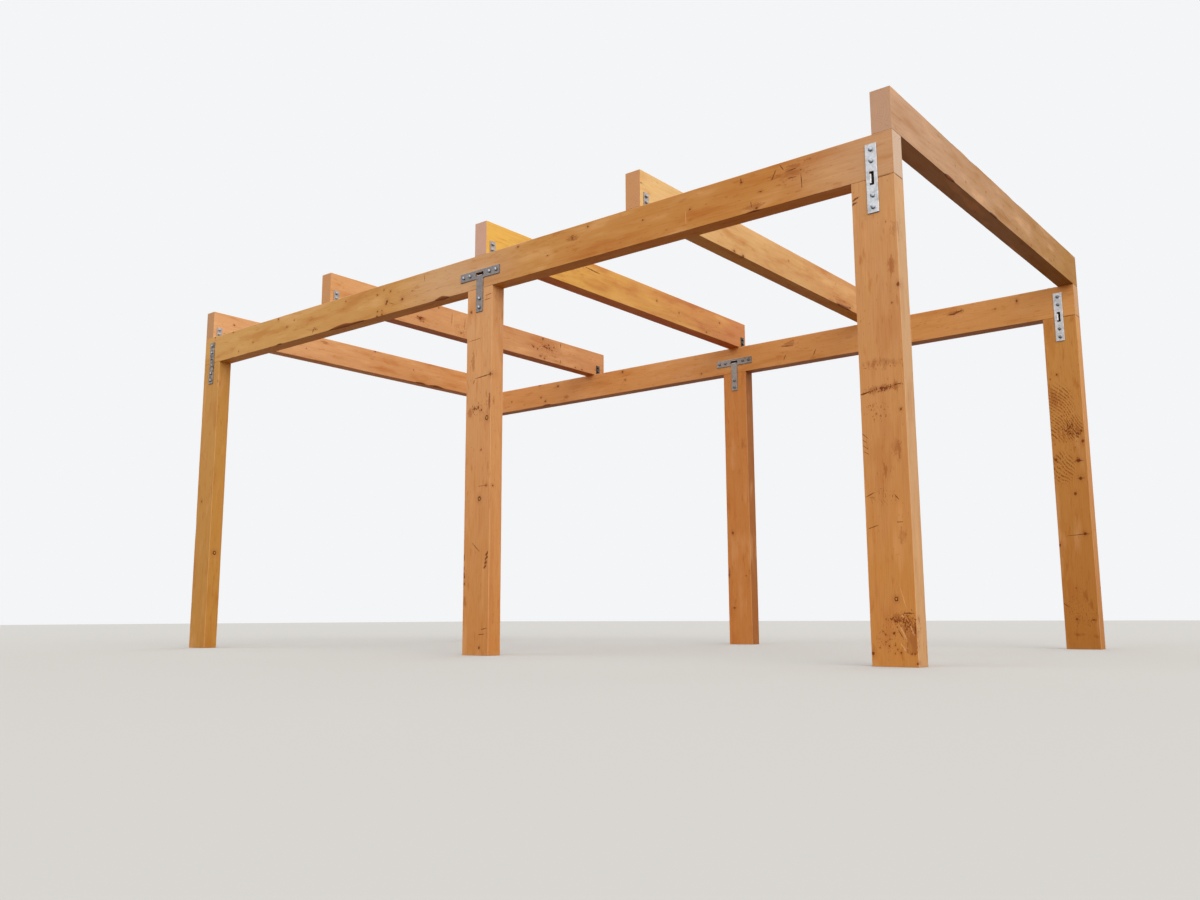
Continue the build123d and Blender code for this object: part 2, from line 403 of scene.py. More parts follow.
# Arrises in millimetres: usual radius, the strip beside them where the face settles, deepest wane, and the
# radii at which bark begins and is full. Each wave is a number along a timber and a share of the radius.
ARRIS_RADIUS = 2.2
ARRIS_WAVES = ((3, 0.18), (11, 0.14), (37, 0.10))
ARRIS_STEPS = 5
ARRIS_SETTLE = 1.0
DEEPEST_WANE = 22
BARK_RADIUS = (4, 12)

# The skin's grid in millimetres, and the outward directions of a section's four sides
END_EASE = 1.2
LINE_SPACING = 12
COLUMN_SPACING = 22
POCKET_WALL = 0.2
QUARTERS = ((1, 0), (0, 1), (-1, 0), (0, -1))

# Wear beside an arris, on it, where it is bark, and in a pocket, where the value stands for painted shade
SETTLED_WEAR = 0.5
ARRIS_WEAR = 1
BARK_WEAR = 2
POCKET_PAINTED_SHADE = 3.0


def grid_places(start, end, spacing, cuts):
    """Evenly spaced places from start to end, with three close ones at each cut for an upright wall."""
    even = np.linspace(start, end, max(2, round((end - start) / spacing) + 1))
    walls = [cut + step for cut in cuts if start < cut < end for step in (-POCKET_WALL, 0, POCKET_WALL)]
    return np.unique(np.concatenate([even, walls]))


def worn_radius(along, length, wane):
    """An arris's radius along a timber.

    It is the usual radius, swollen and shrunk by three sine waves of random phase, plus a bell at each
    place of wane: its depth times e to the minus square of the distance over its reach.
    """
    radius = np.full_like(along, ARRIS_RADIUS)
    for waves, share in ARRIS_WAVES:
        phase = chance.uniform(0, 2 * math.pi)
        radius += ARRIS_RADIUS * share * np.sin(waves * 2 * math.pi * along / length + phase)
    for place, reach, depth in wane:
        radius += depth * np.exp(-(((along - place) / reach) ** 2))
    return radius


def timber_skin(node, material, pockets):
    """A timber's visible surface: a rectangle with rounded corners carried along its length.

    Each side of the outline stands at half the section from the middle, with columns at fixed places along
    it, and ends in a quarter circle of the arris's radius there: that distance less the radius times one
    minus the cosine, and likewise with the sine along the side. The other sides are this one turned by
    quarter turns. The attribute wear rises from none on a face to one on an arris and two where it is bark,
    and is three in a pocket, which the material draws near black as painted shade. The first and last
    outlines are drawn in by the end's ease and closed by one flat face each. Points inside a pocket's box
    are pushed back to its floor.
    """
    low, high = (np.array(corner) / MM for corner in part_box(node))
    a = timber_axes(node)[0]
    b, c = (a + 1) % 3, (a + 2) % 3
    length, middle = high[a] - low[a], (low + high) / 2
    cuts = [np.array([box[0], box[1]]) - middle for box in pockets]
    walls = [x for cut in cuts for x in cut[:, a] + length / 2]
    along = grid_places(END_EASE, length - END_EASE, LINE_SPACING, walls)
    along = np.concatenate([[0], along, [length]])
    drawn_in = np.where((along == 0) | (along == length), END_EASE, 0.0)[:, None]
    half = [(high[axis] - low[axis]) / 2 - drawn_in for axis in (b, c)]

    radii = []
    for number in range(4):
        signs = np.add(QUARTERS[number], QUARTERS[(number + 1) % 4])
        meeting = {(b, int(signs[0] > 0)), (c, int(signs[1] > 0))}
        own = [bell for (timber, *faces), bells in WANE.items() for bell in bells
               if timber == node and {FACES[face] for face in faces} == meeting]
        radii.append(worn_radius(along, length, own)[:, None])

    turn = np.linspace(0, math.pi / 2, ARRIS_STEPS + 1)
    outline_b, outline_c, wear_and_painted_shade = [], [], []
    for number in range(4):
        outward, onward = QUARTERS[number], QUARTERS[(number + 1) % 4]
        out, run = half[number % 2], half[(number + 1) % 2]
        before, radius = radii[number - 1], radii[number]
        run_axis, sense = (c, onward[1]) if number % 2 == 0 else (b, onward[0])
        reach = (high[run_axis] - low[run_axis]) / 2 - DEEPEST_WANE
        side_cuts = [x * sense for cut in cuts for x in cut[:, run_axis]]
        columns = grid_places(-reach, reach, COLUMN_SPACING, side_cuts) * np.ones_like(out)
        side = np.hstack([before + ARRIS_SETTLE - run, columns, run - radius - ARRIS_SETTLE])
        forward = np.hstack([side, run - radius * (1 - np.sin(turn))])
        away = np.hstack([out * np.ones_like(side), out - radius * (1 - np.cos(turn))])
        outline_b.append(outward[0] * away + onward[0] * forward)
        outline_c.append(outward[1] * away + onward[1] * forward)
        settled = SETTLED_WEAR * np.ones_like(radius)
        bark = np.interp(radius, BARK_RADIUS, (ARRIS_WEAR, BARK_WEAR))
        wear_and_painted_shade += [settled, np.zeros_like(columns), settled, bark * np.ones_like(turn)]

    wear_and_painted_shade = np.hstack(wear_and_painted_shade)
    points = np.empty((*wear_and_painted_shade.shape, 3))
    points[..., a] = low[a] + along[:, None]
    points[..., b] = middle[b] + np.hstack(outline_b)
    points[..., c] = middle[c] + np.hstack(outline_c)
    slack = POCKET_WALL / 2
    for box_low, box_high in pockets:
        inside = np.all((points > box_low - slack) & (points < box_high + slack), axis=2)
        points[..., 1] = np.where(inside, box_high[1], points[..., 1])
        wear_and_painted_shade = np.where(inside, POCKET_PAINTED_SHADE, wear_and_painted_shade)

    index = np.arange(points.shape[0] * points.shape[1]).reshape(points.shape[:2])
    onward = np.roll(index, -1, axis=1)
    quads = np.stack([index[:-1], onward[:-1], onward[1:], index[1:]], axis=-1).reshape(-1, 4)
    faces = quads.tolist() + [index[0][::-1].tolist(), index[-1].tolist()]
    values = wear_and_painted_shade.astype(np.float32).ravel()
    piece = new_piece(f"{node}_timber", points * MM, faces, material, values)
    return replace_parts(piece, node)


def pocket(row, centre, length, height):
    """The box of a pocket in a row's front face, in millimetres."""
    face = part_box(f"{row}_beam")[0].y / MM
    low = np.array([centre[0] - length / 2, face, centre[1] - height / 2])
    high = np.array([centre[0] + length / 2, face + POCKET_DEPTH, centre[1] + height / 2])
    return low, high


def row_pockets(row):
    """The pockets behind the slots of a row's straps and tee."""
    boxes = []
    for side in ("left", "right"):
        low, high = (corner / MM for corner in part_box(f"{row}_{side}_strap"))
        boxes.append(pocket(row, ((low.x + high.x) / 2, (low.z + high.z) / 2), SLOT_WIDTH, SLOT_LENGTH))
    low, high = (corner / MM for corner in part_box(f"{row}_tee"))
    boxes.append(pocket(row, ((low.x + high.x) / 2, high.z - PLATE_WIDTH / 2), SLOT_LENGTH, SLOT_WIDTH))
    return boxes


# Timbers: finish

SMOOTH = {"interpolation_type": "SMOOTHSTEP"}

# A distance that no mark reaches, how deep marks go from their face, and the depth of the end grain's look
FAR = 100.0
SPOT_DEPTHS = (12, 40)
END_DEPTH = 0.3

# The logs, one after the other in metres, and the turn of their grain against the sawn faces in degrees
LOG_LENGTH = 3.7
GRAIN_TURN = (0, 0.5, -0.6)

# Growth rings in millimetres: their width, how far the pith wanders, and the spells in which they crowd or
# spread, with the rings that a spell adds at most
RING_WIDTH = 9
PITH_WANDER = 26
SPELL_LENGTH = 30
SPELL_RINGS = 3.0

# Scattered knots: spacing along the pith, cells to a radian about it, the share without a knot, and the
# least and greatest radius in cells
KNOT_SPACING = 210
KNOT_CELLS = 0.6
KNOTS_MISSING = 0.84
KNOT_REACH = (0.014, 0.036)

# Length and width of a listed knot's dark wood for each millimetre of its radius
KNOT_OVAL = (2.6, 2.2)
RING_OVAL = (2.5, 2.2)

# Saw strokes: radius of the blade and pitch in millimetres, drift in radians. Then the end grain's splits in
# a radian
SAW_RADIUS = 700
SAW_PITCH = 26
SAW_DRIFT = 30.0
END_SPLITS = 7.0

# Noise in the wood: feature lengths along, through and across the grain in millimetres, detail, roughness
PATTERNS = {
    "wander": ((900, 220, 220), 2.0, 0.5),
    "mottle": ((330, 75, 75), 2.0, 0.5),
    "smudge": ((95, 24, 24), 2.0, 0.6),
    "streak": ((380, 11, 11), 2.0, 0.5),
    "fibre": ((75, 2.4, 2.4), 3.0, 0.6),
    "fleck": ((24, 7, 7), 1.0, 0.5),
    "torn": ((11, 6, 6), 2.0, 0.6),
    "patch": ((300, 120, 120), 1.0, 0.5),
    "section": ((1e6, 40, 40), 2.0, 0.5),
}


def nearest_spot(tree, place, node, table):
    """The least distance to a timber's spots in a table, each in its own half length and half width.

    The place is counted in millimetres from the timber's lower corner.
    """
    low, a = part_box(node)[0], timber_axes(node)[0]
    nearest = FAR
    listed = [(face, *mark) for (timber, face), marks in table.items() if timber == node for mark in marks]
    for face, along, across, length, width, turn in listed:
        normal = FACES[face][0]
        centre = (on_face(node, face, along, across) - low) / MM
        radii = [width / 2] * 3
        radii[a], radii[normal] = length / 2, min(max(width, SPOT_DEPTHS[0]), SPOT_DEPTHS[1])
        turned = add(tree, "VectorRotate", (place, centre, -math.radians(turn)),
                     rotation_type="XYZ"[normal] + "_AXIS")
        shares = [1 / radius for radius in radii]
        offset = [-centre[axis] * shares[axis] for axis in range(3)]
        local = add(tree, "VectorMath", (turned, shares, offset), operation="MULTIPLY_ADD")
        distance = add(tree, "VectorMath", (local,), operation="LENGTH")
        nearest = add(tree, "Math", (nearest, distance), operation="MINIMUM")
    return nearest


def knot_spots(table, oval):
    """A table of knots as one of spots, with each radius made the length and width of an oval."""
    length, width = oval
    return {place: [(along, across, length * radius, width * radius, 0) for along, across, radius in knots]
            for place, knots in table.items()}


def oiled_sawn_softwood(node, number):
    """Honey-coloured softwood, sawn and oiled: an even tan with soft mottling, pin knots and torn flecks.

    It is half dull. The grain's frame lies on the log's pith, in millimetres, with x along it. Growth rings
    are the distance from the pith, bent by a slow wander and lifted round each knot. Knots run out from the
    pith, so they keep their place along the log and their angle about it. The saw's strokes are arcs of the
    blade's radius that follow each other along the timber. The bounds of each MapRange are set one by one.
    """
    material, tree = new_material(f"oiled_sawn_softwood_{node}")
    pith_thick, pith_wide, blade, first_tint, last_tint, end_tint = TIMBERS[node]
    low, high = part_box(node)
    middle = (low + high) / 2
    a, thick, wide = timber_axes(node)
    axes = [Vector(row) for row in Matrix.Identity(3)]
    through = axes[thick] * (-1 if pith_thick > 0 else 1)
    lean = Euler([math.radians(degrees) for degrees in GRAIN_TURN]).to_matrix()
    turned = Matrix((axes[a], through, axes[a].cross(through))).transposed() @ lean
    pith = middle - through * abs(pith_thick) * MM + axes[wide] * pith_wide * MM
    start = pith - turned.col[0] * LOG_LENGTH * (number + 1)

    coordinates = add(tree, "TexCoord", ())
    place = coordinates.outputs["Object"]
    spot = add(tree, "SeparateXYZ", (place,))
    from_corner = add(tree, "Mapping", (place, low, (0, 0, 0), (MM, MM, MM)), vector_type="TEXTURE")
    grain = add(tree, "Mapping", (place, start, turned.to_euler(), (MM, MM, MM)), vector_type="TEXTURE")
    noise = {}
    for name, (lengths, detail, rough) in PATTERNS.items():
        shares = [1 / length for length in lengths]
        stretched = add(tree, "VectorMath", (grain, shares), operation="MULTIPLY")
        noise[name] = add(tree, "TexNoise", {
            "Vector": stretched, "Scale": 1.0, "Detail": detail, "Roughness": rough})

    # Knots: the listed ones, and others scattered along and about the pith
    wander = noise["wander"].outputs["Color"]
    bent = add(tree, "VectorMath", (wander, (0, PITH_WANDER, PITH_WANDER), grain), operation="MULTIPLY_ADD")
    parts = add(tree, "SeparateXYZ", (bent,))
    angle = add(tree, "Math", (parts.outputs["Z"], parts.outputs["Y"]), operation="ARCTAN2")
    about = add(tree, "CombineXYZ", (
        add(tree, "Math", (parts.outputs["X"], KNOT_SPACING), operation="DIVIDE"),
        add(tree, "Math", (angle, KNOT_CELLS), operation="MULTIPLY")))
    cell = add(tree, "TexVoronoi", {"Vector": about, "Scale": 1.0}, voronoi_dimensions="2D")
    draw = add(tree, "SeparateColor", (cell.outputs["Color"],))
    reach = add(tree, "MapRange", (draw.outputs["Green"], 0, 1, *KNOT_REACH))
    scattered = add(tree, "Math", (cell.outputs["Distance"], reach), operation="DIVIDE")
    missing = add(tree, "Math", (draw.outputs["Red"], KNOTS_MISSING), operation="LESS_THAN")
    scattered = add(tree, "Math", (missing, FAR, scattered), operation="MULTIPLY_ADD")
    listed = nearest_spot(tree, from_corner, node, knot_spots(KNOTS, KNOT_OVAL))
    knots = add(tree, "Math", (scattered, listed), operation="MINIMUM")
    rings = nearest_spot(tree, from_corner, node, knot_spots(RING_KNOTS, RING_OVAL))
    uneven = add(tree, "MapRange", (noise["torn"], 0.3, 0.7, 0.8, 1.2))
    knots = add(tree, "Math", (knots, uneven), operation="MULTIPLY")
    rings = add(tree, "Math", (rings, uneven), operation="MULTIPLY")
    either = add(tree, "Math", (knots, rings), operation="MINIMUM")

    # Growth rings
    flat = add(tree, "VectorMath", (bent, (0, 1, 1)), operation="MULTIPLY")
    radius = add(tree, "VectorMath", (flat,), operation="LENGTH")
    swelling = add(tree, "MapRange", (either, 0, 6, 10, 0), **SMOOTH)
    lifted = add(tree, "Math", (radius, swelling), operation="SUBTRACT")
    spell = add(tree, "Math", (lifted, SPELL_LENGTH), operation="DIVIDE")
    growth = add(tree, "TexNoise", {"W": spell, "Scale": 1.0}, noise_dimensions="1D")
    years = add(tree, "Math", (lifted, RING_WIDTH), operation="DIVIDE")
    years = add(tree, "Math", (growth, SPELL_RINGS, years), operation="MULTIPLY_ADD")
    season = add(tree, "Math", (years,), operation="FRACT")
    late = add(tree, "ValToRGB", (season,), stops=(
        (0.0, "#303030"), (0.35, "#000000"), (0.80, "#b8b8b8"), (0.92, "#ffffff"), (1.0, "#303030")))

    # Saw strokes: waves of the pitch in the place along, less the height of the blade's arc across the face
    across = add(tree, "Math", (spot.outputs["XYZ"[wide]], middle[wide] + blade * MM), operation="SUBTRACT")
    squared = add(tree, "Math", (across, across), operation="MULTIPLY")
    squared = add(tree, "Math", ((SAW_RADIUS * MM) ** 2, squared), operation="SUBTRACT")
    arc = add(tree, "Math", (squared,), operation="SQRT")
    stroke = add(tree, "Math", (spot.outputs["XYZ"[a]], arc), operation="SUBTRACT")
    stroke = add(tree, "Math", (stroke, 2 * math.pi / (SAW_PITCH * MM)), operation="MULTIPLY")
    stroke = add(tree, "Math", (noise["patch"], SAW_DRIFT, stroke), operation="MULTIPLY_ADD")
    stroke = add(tree, "Math", (stroke,), operation="SINE")
    stroke = add(tree, "MapRange", (stroke, -0.1, 0.75), **SMOOTH)
    broken = add(tree, "MapRange", (noise["torn"], 0.42, 0.56), **SMOOTH)
    stroke = add(tree, "Math", (stroke, broken), operation="MULTIPLY")
    sawn = nearest_spot(tree, from_corner, node, SAWN)
    sawn = add(tree, "MapRange", (sawn, 1.1, 0.6), **SMOOTH)
    faint = add(tree, "MapRange", (noise["patch"], 0.55, 0.8, 0.0, 0.15), **SMOOTH)
    bite = add(tree, "Math", (sawn, faint), operation="MAXIMUM")
    strokes = add(tree, "Math", (stroke, bite), operation="MULTIPLY")

    # Smudges, torn flecks and bruises, and marks with a frayed edge
    soaked = nearest_spot(tree, from_corner, node, SMUDGES)
    ragged = add(tree, "MapRange", (noise["smudge"], 0.3, 0.7, 1.6, 0.6))
    soaked = add(tree, "Math", (soaked, ragged), operation="MULTIPLY")
    frayed = add(tree, "MapRange", (noise["torn"], 0.35, 0.65, 0.7, 1.4))
    soaked = add(tree, "Math", (soaked, frayed), operation="MULTIPLY")
    soaked = add(tree, "MapRange", (soaked, 1.2, 0.4), **SMOOTH)
    cloud = add(tree, "MapRange", (noise["smudge"], 0.34, 0.58, 0.25, 1.0), **SMOOTH)
    soaked = add(tree, "Math", (soaked, cloud), operation="MULTIPLY")
    torn_place = nearest_spot(tree, from_corner, node, TORN)
    torn_place = add(tree, "MapRange", (torn_place, 1.15, 0.7), **SMOOTH)
    near_knot = add(tree, "MapRange", (either, 3.5, 1.2), **SMOOTH)
    torn_place = add(tree, "Math", (torn_place, near_knot), operation="MAXIMUM")
    torn = add(tree, "MapRange", (noise["torn"], 0.59, 0.65), **SMOOTH)
    torn = add(tree, "Math", (torn, torn_place), operation="MULTIPLY")
    bruised = nearest_spot(tree, from_corner, node, BRUISES)
    bruised = add(tree, "Math", (bruised, -0.16, noise["torn"]), operation="MULTIPLY_ADD")
    bruised = add(tree, "MapRange", (bruised, 0.42, 0.5), **SMOOTH)
    frayed_marks = []
    for table, begin, full in ((CHECKS_AND_JOINT_SHADOWS, 1.1, 0.6), (SCRAPES, 1.2, 0.5), (STAINS, 1.15, 0.85)):
        mark = nearest_spot(tree, from_corner, node, table)
        mark = add(tree, "Math", (mark, frayed), operation="MULTIPLY")
        frayed_marks.append(add(tree, "MapRange", (mark, begin, full), **SMOOTH))
    checks_and_joint_shade, scrapes, stained = frayed_marks
    uneven_stain = add(tree, "MapRange", (noise["smudge"], 0.36, 0.6, 0.5, 1.0), **SMOOTH)
    stained = add(tree, "Math", (stained, uneven_stain), operation="MULTIPLY")

    # Arrises: a painted highlight where they face up and painted shade where they face down
    wear_and_painted_shade = add(tree, "Attribute", {}, attribute_name="wear_and_painted_shade").outputs["Fac"]
    normal = add(tree, "SeparateXYZ", (coordinates.outputs["Normal"],))
    facing = normal.outputs["Z"]
    upward = add(tree, "MapRange", (facing, -0.4, 0.2), **SMOOTH)
    painted_arris_highlight = add(tree, "Math", (wear_and_painted_shade, upward), operation="MULTIPLY")
    downward = add(tree, "MapRange", (facing, -0.2, -0.7), **SMOOTH)
    shaded = add(tree, "Math", (wear_and_painted_shade, downward), operation="MULTIPLY")

    # Colour, in layers: value, where the layer starts and is full, its cover, its colour and how it mixes
    # The mottle is a half in the middle, so the change from the first tint starts half a length on.
    length = high[a] - low[a]
    tint = add(tree, "Math", (noise["mottle"], length, spot.outputs["XYZ"[a]]), operation="MULTIPLY_ADD")
    first = low[a] + length * 0.5
    tint = add(tree, "MapRange", (tint, first, first + length))
    # Along each timber the first tint blends into the last; on the rafters that blend is partly painted
    # light, a painted sheen at the front ends and painted shade towards the rear
    colour = add(tree, "Mix", (tint, linear(first_tint), linear(last_tint)), data_type="RGBA")
    # Painted light and shade laid over whole faces of some timbers, in their own tints
    for face, (axis, side) in FACES.items():
        if (node, face) not in FACE_PAINTED_LIGHT:
            continue
        code, cover = FACE_PAINTED_LIGHT[node, face]
        begin, full = (0.5, 0.8) if side else (-0.5, -0.8)
        painted_face_light = add(tree, "MapRange", (normal.outputs["XYZ"[axis]], begin, full, 0.0, cover), **SMOOTH)
        colour = add(tree, "Mix", (painted_face_light, colour, linear(code)), data_type="RGBA")
    pale_places = nearest_spot(tree, from_corner, node, PALE_PLACES)
    layers = (
        (pale_places, 1.3, 0.3, 0.45, "#d4b596", "MIX"),
        (late, 0.0, 1.0, 0.2, "#ead2b0", "MULTIPLY"),
        (noise["mottle"], 0.46, 0.28, 0.3, "#e3b07c", "MIX"),
        (noise["mottle"], 0.54, 0.74, 0.6, "#ecd4b4", "MULTIPLY"),
        (noise["streak"], 0.54, 0.74, 0.24, "#ecd2ac", "MULTIPLY"),
        (noise["smudge"], 0.58, 0.76, 0.5, "#dfba8c", "MULTIPLY"),
        (noise["fibre"], 0.45, 0.75, 0.35, "#e6cba8", "MULTIPLY"),
        (noise["fleck"], 0.72, 0.76, 0.4, "#8a4f18", "MIX"),
        (soaked, 0.0, 1.0, 0.5, "#904a18", "MIX"),
        (stained, 0.0, 1.0, 0.6, "#8a4a1c", "MIX"),
        (either, 4.0, 1.0, 0.25, "#a3602a", "MIX"),
        (torn, 0.0, 1.0, 0.6, "#783a08", "MIX"),
        (bruised, 0.0, 1.0, 0.85, "#6c2c02", "MIX"),
        (knots, 1.2, 0.6, 0.9, "#6e2e02", "MIX"),
        (knots, 0.5, 0.1, 0.25, "#8a552a", "MIX"),
        (rings, 1.2, 1.0, 0.95, "#4c1c00", "MIX"),
        (rings, 0.66, 0.5, 0.85, "#c98f45", "MIX"),
        (strokes, 0.0, 1.0, 0.8, "#70360a", "MIX"),
        # Checks, and painted shadow lines at the post tops under the beams
        (checks_and_joint_shade, 0.0, 1.0, 0.85, "#662a00", "MIX"),
        (scrapes, 0.0, 1.0, 0.6, "#dda676", "MIX"),
        # Painted highlight on upward arrises and painted shade on downward ones
        (painted_arris_highlight, 0.45, 1.0, 0.45, "#eac095", "MIX"),
        (shaded, 0.45, 1.0, 0.6, "#64391a", "MIX"),
        (wear_and_painted_shade, 1.02, 1.25, 0.8, "#5c2e0e", "MIX"),
        (wear_and_painted_shade, 1.3, 1.75, 0.7, "#955a2c", "MIX"),
        # Painted shade: pockets drawn near black
        (wear_and_painted_shade, 2.1, 2.7, 0.95, "#1c110a", "MIX"),
    )
    for value, begin, full, cover, code, blend in layers:
        factor = add(tree, "MapRange", (value, begin, full, 0.0, cover), **SMOOTH)
        colour = add(tree, "Mix", (factor, colour, linear(code)), data_type="RGBA", blend_type=blend)

    # End grain, dry and pale, with fine splits that run out from the pith
    out = add(tree, "Math", (spot.outputs["XYZ"[a]], middle[a]), operation="SUBTRACT")
    out = add(tree, "Math", (out,), operation="ABSOLUTE")
    end = add(tree, "Math", (out, length / 2 - END_DEPTH * MM), operation="GREATER_THAN")
    spokes = add(tree, "Math", (angle, END_SPLITS), operation="MULTIPLY")
    spokes = add(tree, "Math", (growth, 0.5, spokes), operation="MULTIPLY_ADD")
    spokes = add(tree, "Math", (spokes, 0.5), operation="PINGPONG")
    spokes = add(tree, "MapRange", (spokes, 0.05, 0.0), **SMOOTH)
    here = add(tree, "MapRange", (noise["section"], 0.5, 0.6, 0.0, 0.6), **SMOOTH)
    spokes = add(tree, "Math", (spokes, here), operation="MULTIPLY")
    rings_end = add(tree, "MapRange", (late, 0.0, 1.0, 0.0, 0.3))
    end_colour = add(tree, "Mix", (rings_end, linear(end_tint), linear("#a97547")), data_type="RGBA")
    end_colour = add(tree, "Mix", (spokes, end_colour, linear("#6e4526")), data_type="RGBA")
    colour = add(tree, "Mix", (end, colour, end_colour), data_type="RGBA")

    # Relief in millimetres: late wood stands proud, fibres rise, strokes, flecks and checks are sunk
    relief = 0.0
    depths = ((late, 0.04), (noise["fibre"], 0.3), (strokes, -0.35), (torn, -0.35), (checks_and_joint_shade, -0.9))
    for value, depth in depths:
        relief = add(tree, "Math", (value, depth, relief), operation="MULTIPLY_ADD")
    bump = add(tree, "Bump", {"Height": relief, "Distance": MM, "Strength": 1.0})
    rough = add(tree, "MapRange", (noise["fibre"], 0.3, 0.7, 0.5, 0.66))
    shader = add(tree, "BsdfPrincipled", {
        "Base Color": colour, "Roughness": rough, "Normal": bump, "IOR": 1.5, "Specular IOR Level": 0.12})
    add(tree, "OutputMaterial", {"Surface": shader})
    return material


# Steel: size of the grime's and the plating's blotches, and height of the zinc's crystals, in millimetres

GRIME_SIZE = 35
PLATING_SIZE = 6
ZINC_RELIEF = 0.04


def galvanised_steel(name, tint, shade, spangle):
    """Hot-dip galvanised steel: a dull zinc skin whose crystals catch the light unevenly.

    It has grime in blotches, a painted highlight where it faces up, and painted shade where it faces down,
    where it is also made less metallic. The spangle is drawn as coarse as it needs to show.
    """
    material, tree = new_material(name)
    coordinates = add(tree, "TexCoord", ())
    place = coordinates.outputs["Object"]
    crystals = add(tree, "TexVoronoi", {"Vector": place, "Scale": 1 / (spangle * MM)}, distance="CHEBYCHEV")
    draw = add(tree, "SeparateColor", (crystals.outputs["Color"],))
    grime = add(tree, "TexNoise", {
        "Vector": place, "Scale": 1 / (GRIME_SIZE * MM), "Detail": 4.0, "Roughness": 0.6})
    colour = add(tree, "Mix", (draw.outputs["Red"], linear(tint), linear(shade)), data_type="RGBA")
    grime_and_painted_shade = add(tree, "MapRange", (grime, 0.45, 0.75, 0.0, 0.5), **SMOOTH)
    colour = add(tree, "Mix", (grime_and_painted_shade, colour, linear("#77736f")), data_type="RGBA")
    # Painted shade: faces that look down are drawn near black and made less metallic. Painted highlight:
    # faces that look up are drawn pale.
    facing = add(tree, "SeparateXYZ", (coordinates.outputs["Normal"],)).outputs["Z"]
    under = add(tree, "MapRange", (facing, -0.3, -0.8, 0.0, 0.9), **SMOOTH)
    colour = add(tree, "Mix", (under, colour, linear("#2c2320")), data_type="RGBA")
    over = add(tree, "MapRange", (facing, 0.1, 0.6, 0.0, 0.8), **SMOOTH)
    colour = add(tree, "Mix", (over, colour, linear("#dfe1e3")), data_type="RGBA")
    metal = add(tree, "MapRange", (under, 0.0, 0.9, 0.9, 0.1))
    rough = add(tree, "MapRange", (draw.outputs["Green"], 0.0, 1.0, 0.36, 0.5))
    height = add(tree, "Math", (grime, 0.4, draw.outputs["Blue"]), operation="MULTIPLY_ADD")
    bump = add(tree, "Bump", {"Height": height, "Distance": ZINC_RELIEF * MM, "Strength": 0.6})
    shader = add(tree, "BsdfPrincipled", {
        "Base Color": colour, "Metallic": metal, "Roughness": rough, "Normal": bump})
    add(tree, "OutputMaterial", {"Surface": shader})
    return material


def plated_screws(name, tint, shade, flank_painted_shade):
    """Zinc-plated coach screws: bright heads, with painted shade drawn dark on their flanks and lower-left
    sides.
    """
    material, tree = new_material(name)
    place = add(tree, "TexCoord", ()).outputs["Object"]
    mottle = add(tree, "TexNoise", {"Vector": place, "Scale": 1 / (PLATING_SIZE * MM), "Detail": 3.0})
    colour = add(tree, "ValToRGB", (mottle,), stops=((0.3, shade), (0.7, tint)))
    foot = add(tree, "Attribute", {}, attribute_name="wear_and_painted_shade").outputs["Fac"]
    # Painted shade: the head's flanks and its lower-left side are drawn dark
    dull = add(tree, "MapRange", (foot, 0.2, 0.9, 0.0, 0.92), **SMOOTH)
    colour = add(tree, "Mix", (dull, colour, linear(flank_painted_shade)), data_type="RGBA")
    rough = add(tree, "MapRange", (mottle, 0.0, 1.0, 0.2, 0.42))
    shader = add(tree, "BsdfPrincipled", {"Base Color": colour, "Metallic": 1.0, "Roughness": rough})
    add(tree, "OutputMaterial", {"Surface": shader})
    return material


# Coach screws of plates and brackets: width across the flats, height of the head and radius of the shank
PLATE_SCREW = (17, 6.5, 6)
BRACKET_SCREW = (17, 7, 5)

# Heads: steps round them, worn edge, radius of the top in widths across the flats, and slope of the cone
HEAD_STEPS = 24
HEAD_EDGE = 0.3
HEAD_TOP = 0.44
CONE_DEGREES = 30
SHANK_END = -25.0

# The side of a screw that is drawn dark as painted shade, and how much of that shade is the same all round
# and how much is not
SHADED_SIDE = Vector((-0.7, 0.0, -0.7))
SHADE_SHARES = (0.6, 0.7)


